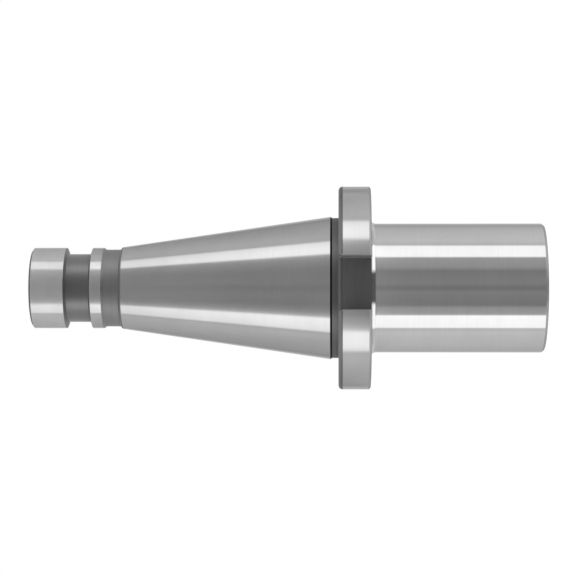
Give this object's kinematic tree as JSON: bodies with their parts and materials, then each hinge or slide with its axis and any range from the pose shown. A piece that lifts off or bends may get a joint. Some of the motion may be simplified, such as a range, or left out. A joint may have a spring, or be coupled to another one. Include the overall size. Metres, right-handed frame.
{
  "type": "steep taper to morse taper reducing sleeve",
  "caption": "Ground steel tool sleeve: steep taper shank with driving flange, gripping groove and pilot, and a straight nose bored with a Morse taper socket.",
  "frame": {"origin": "centre of the nose face, where the Morse socket opens", "axes": "+Z along the sleeve's axis from the nose face to the draw-bar end, +Y through the middle of one drive slot, +X square to both"},
  "size_m": [0.063, 0.0608, 0.1584],
  "materials": {
    "ground_steel": "hardened steel, ground bright on the taper, flange rim, pilot and nose, dark and unground in the grooves and slots"
  },
  "bodies": {
    "root": {"sleeve": "ground_steel"}
  },
  "joints": []
}
